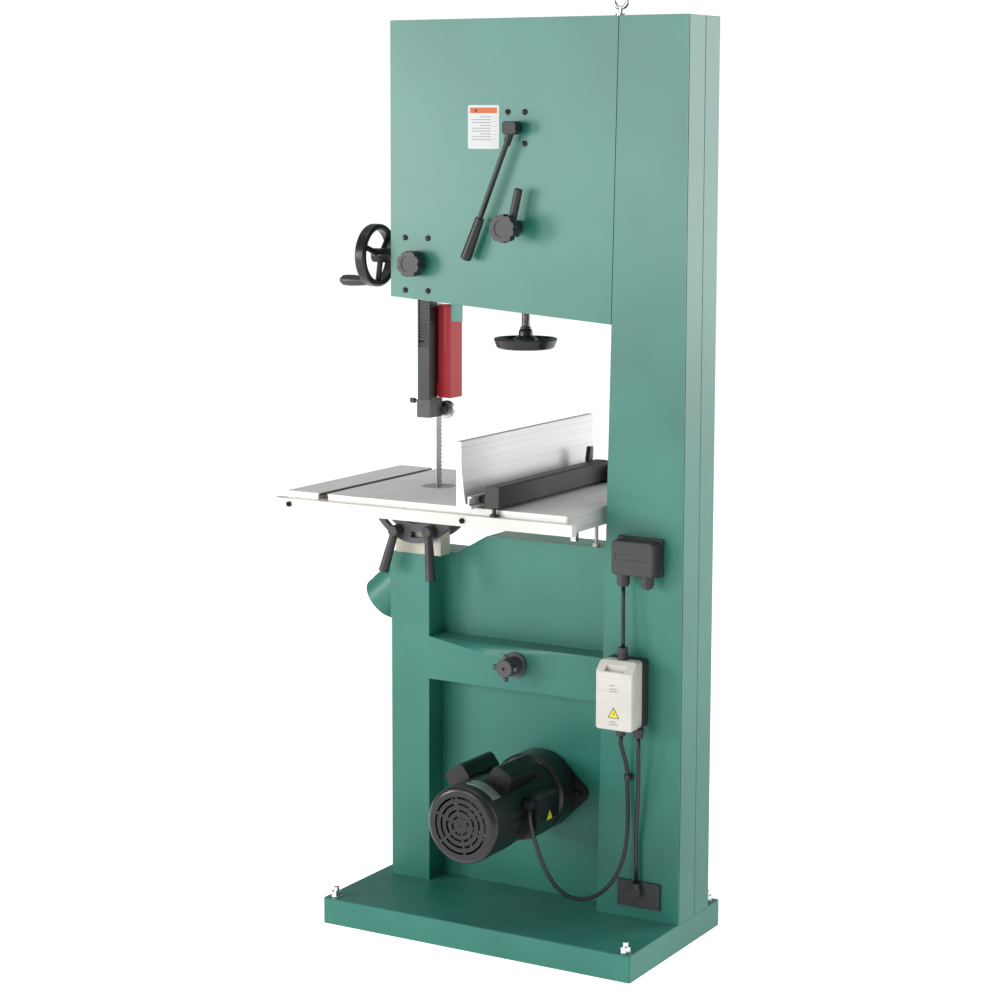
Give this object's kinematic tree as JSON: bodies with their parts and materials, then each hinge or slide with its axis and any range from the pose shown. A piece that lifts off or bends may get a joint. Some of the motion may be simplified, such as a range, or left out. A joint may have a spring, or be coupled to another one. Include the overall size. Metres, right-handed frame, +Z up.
{
  "type": "band saw",
  "caption": "Floor-standing vertical band saw with a tilting slotted table, fence, rising blade guide, doors and a foot-level motor.",
  "frame": {"origin": "on the underside of the base, below the middle of the body and the back of the frame's seam with the doors", "axes": "+X towards the blade side, +Y towards the back with the motor, +Z up"},
  "size_m": [0.884, 0.675, 1.933],
  "materials": {
    "green_paint": "satin",
    "chrome": "polished",
    "black_plastic": "satin",
    "black_screw": "satin",
    "machined_steel": "machined",
    "red_paint": "gloss",
    "cast_iron_parts": "rough",
    "rubber_parts": "matte",
    "black_gloss": "gloss",
    "rotor_steel": "machined",
    "table_iron": "ground",
    "cream_paint": "satin",
    "fence_aluminium": "satin",
    "cable_sheath": "satin",
    "off_white_plastic": "satin",
    "green_plastic": "gloss",
    "red_plastic": "gloss"
  },
  "bodies": {
    "frame": {"base_plinth": "green_paint", "frame_bolts": "chrome", "column": "green_paint", "column_front_cover": "green_paint", "head_housing": "green_paint", "lower_housing": "green_paint", "door_hinges": "green_paint", "head_screws": "black_screw", "guide_post_bracket": "green_paint", "lower_guides": "machined_steel", "lower_axle_hub": "machined_steel", "blade": "machined_steel", "drive_belt": "rubber_parts", "dust_port": "green_paint", "trunnion_base": "cream_paint", "motor_plate": "black_gloss", "motor_body": "black_gloss", "fan_cowl": "black_gloss", "motor_boxes": "black_gloss", "motor_cable": "cable_sheath", "control_cables": "cable_sheath", "connector_box": "black_plastic", "starter_box": "black_plastic", "starter_cover": "off_white_plastic", "cable_fittings": "black_plastic", "switch_box": "black_plastic"},
    "upper_door": {"upper_door": "green_paint"},
    "lower_door": {"lower_door": "green_paint"},
    "upper_door_knob": {"upper_door_knob": "black_plastic"},
    "lower_door_knob": {"lower_door_knob": "black_plastic"},
    "start_button": {"start_button": "green_plastic"},
    "stop_button": {"stop_button": "red_plastic"},
    "upper_disc_guide_column_side": {"upper_disc_guide_column_side": "machined_steel"},
    "upper_disc_guide_open_side": {"upper_disc_guide_open_side": "machined_steel"},
    "upper_thrust_bearing": {"upper_thrust_bearing": "machined_steel"},
    "guide_handwheel": {"guide_handwheel": "black_plastic"},
    "guide_handwheel_grip": {"guide_handwheel_grip": "black_plastic"},
    "guide_lock_knob": {"guide_lock_knob": "black_plastic"},
    "tension_carriage": {"tension_carriage": "cast_iron_parts"},
    "tension_handwheel": {"tension_handwheel": "black_plastic"},
    "tension_lever": {"tension_lever": "black_plastic"},
    "tracking_knob": {"tracking_knob": "black_plastic"},
    "tracking_lock_lever": {"tracking_lock_lever": "black_plastic"},
    "motor_rotor": {"motor_rotor": "rotor_steel"},
    "tilt_lever_open_side": {"tilt_lever_open_side": "black_plastic"},
    "tilt_lever_column_side": {"tilt_lever_column_side": "black_plastic"},
    "fence_lever": {"fence_lever": "black_plastic"},
    "guide_post": {"guide_post": "machined_steel", "blade_guard": "red_paint", "upper_guide_block": "machined_steel"},
    "upper_wheel": {"upper_wheel": "cast_iron_parts", "upper_tyre": "rubber_parts"},
    "lower_wheel": {"lower_wheel": "cast_iron_parts", "lower_tyre": "rubber_parts"},
    "table": {"table": "table_iron", "table_fittings": "machined_steel", "fence_rails": "cream_paint", "trunnions": "cast_iron_parts"},
    "fence": {"fence_face": "fence_aluminium", "fence_carriage": "cast_iron_parts"}
  },
  "joints": [
    {"name": "upper_door_hinge", "type": "hinge", "parent": "frame", "child": "upper_door", "pos_m": [-0.221, -0.079, 1.6], "axis": [0, 0, 1], "range_deg": [-110, 0]},
    {"name": "lower_door_hinge", "type": "hinge", "parent": "frame", "child": "lower_door", "pos_m": [-0.221, -0.079, 0.43], "axis": [0, 0, 1], "range_deg": [-110, 0]},
    {"name": "upper_door_knob_turn", "type": "hinge", "parent": "upper_door", "child": "upper_door_knob", "pos_m": [0.306, -0.08, 1.51], "axis": [0, 1, 0], "range_deg": [-90, 0]},
    {"name": "lower_door_knob_turn", "type": "hinge", "parent": "lower_door", "child": "lower_door_knob", "pos_m": [0.306, -0.08, 0.31], "axis": [0, 1, 0], "range_deg": [-90, 0]},
    {"name": "start_button_press", "type": "slide", "parent": "frame", "child": "start_button", "axis": [0, 1, 0], "range_m": [0, 0.004], "stiffness_N_per_m": 400},
    {"name": "stop_button_press", "type": "slide", "parent": "frame", "child": "stop_button", "axis": [0, 1, 0], "range_m": [0, 0.004], "stiffness_N_per_m": 500},
    {"name": "guide_post_slide", "type": "slide", "parent": "frame", "child": "guide_post", "axis": [0, 0, 1], "range_m": [-0.14, 0.15]},
    {"name": "column_side_disc_spin", "type": "hinge", "parent": "guide_post", "child": "upper_disc_guide_column_side", "pos_m": [0.25985, -0.016, 1.067], "axis": [0, 1, 0], "continuous": true},
    {"name": "open_side_disc_spin", "type": "hinge", "parent": "guide_post", "child": "upper_disc_guide_open_side", "pos_m": [0.29975, -0.016, 1.067], "axis": [0, 1, 0], "continuous": true},
    {"name": "thrust_bearing_spin", "type": "hinge", "parent": "guide_post", "child": "upper_thrust_bearing", "pos_m": [0.2798, 0.005, 1.067], "axis": [1, 0, 0], "continuous": true},
    {"name": "guide_handwheel_spin", "type": "hinge", "parent": "frame", "child": "guide_handwheel", "pos_m": [0.392, 0.055, 1.395], "axis": [1, 0, 0], "range_deg": [-862, 804]},
    {"name": "guide_handwheel_grip_spin", "type": "hinge", "parent": "guide_handwheel", "child": "guide_handwheel_grip", "pos_m": [0.44, 0.048, 1.339], "axis": [1, 0, 0], "continuous": true},
    {"name": "guide_lock_knob_turn", "type": "hinge", "parent": "frame", "child": "guide_lock_knob", "pos_m": [0.279, 0.09, 1.382], "axis": [0, 1, 0], "range_deg": [-360, 360]},
    {"name": "tension_slide", "type": "slide", "parent": "frame", "child": "tension_carriage", "axis": [0, 0, 1], "range_m": [-0.012, 0]},
    {"name": "tension_handwheel_spin", "type": "hinge", "parent": "frame", "child": "tension_handwheel", "pos_m": [0.038, 0.035, 1.223], "axis": [0, 0, 1], "range_deg": [-1085, 5]},
    {"name": "tension_lever_turn", "type": "hinge", "parent": "frame", "child": "tension_lever", "pos_m": [0.038, 0.094, 1.664], "axis": [0, 1, 0], "range_deg": [-150, 0]},
    {"name": "tracking_knob_turn", "type": "hinge", "parent": "tension_carriage", "child": "tracking_knob", "pos_m": [0.038, 0.12, 1.462], "axis": [0, 1, 0], "range_deg": [-720, 720]},
    {"name": "tracking_lock_turn", "type": "hinge", "parent": "tension_carriage", "child": "tracking_lock_lever", "pos_m": [0.038, 0.098, 1.462], "axis": [0, 1, 0], "range_deg": [-60, 25]},
    {"name": "lower_wheel_spin", "type": "hinge", "parent": "frame", "child": "lower_wheel", "pos_m": [0.038, -0.016, 0.553], "axis": [0, 1, 0], "continuous": true},
    {"name": "upper_wheel_spin", "type": "hinge", "parent": "tension_carriage", "child": "upper_wheel", "pos_m": [0.038, -0.016, 1.605], "axis": [0, 1, 0], "continuous": true},
    {"name": "motor_spin", "type": "hinge", "parent": "frame", "child": "motor_rotor", "pos_m": [0.005, 0, 0.282], "axis": [0, 1, 0], "continuous": true},
    {"name": "table_tilt", "type": "hinge", "parent": "frame", "child": "table", "pos_m": [0.2798, 0, 0.9], "axis": [0, 1, 0], "range_deg": [0, 30]},
    {"name": "open_side_tilt_lever_turn", "type": "hinge", "parent": "frame", "child": "tilt_lever_open_side", "pos_m": [0.31722, 0.1, 0.81595], "axis": [0, 1, 0], "range_deg": [-40, 40]},
    {"name": "column_side_tilt_lever_turn", "type": "hinge", "parent": "frame", "child": "tilt_lever_column_side", "pos_m": [0.2338, 0.1, 0.82033], "axis": [0, 1, 0], "range_deg": [-40, 40]},
    {"name": "fence_slide", "type": "slide", "parent": "table", "child": "fence", "axis": [-1, 0, 0], "range_m": [-0.11, 0.1]},
    {"name": "fence_lever_turn", "type": "hinge", "parent": "fence", "child": "fence_lever", "pos_m": [0.029, -0.228, 0.926], "axis": [1, 0, 0], "range_deg": [0, 25]}
  ],
  "couplings": [
    {"joint": "guide_handwheel_spin", "follows": "guide_post_slide", "rad_per_m": -100},
    {"joint": "tension_handwheel_spin", "follows": "tension_slide", "rad_per_m": 1570.8},
    {"joint": "upper_wheel_spin", "follows": "lower_wheel_spin", "ratio": 1},
    {"joint": "motor_spin", "follows": "lower_wheel_spin", "ratio": 2}
  ]
}
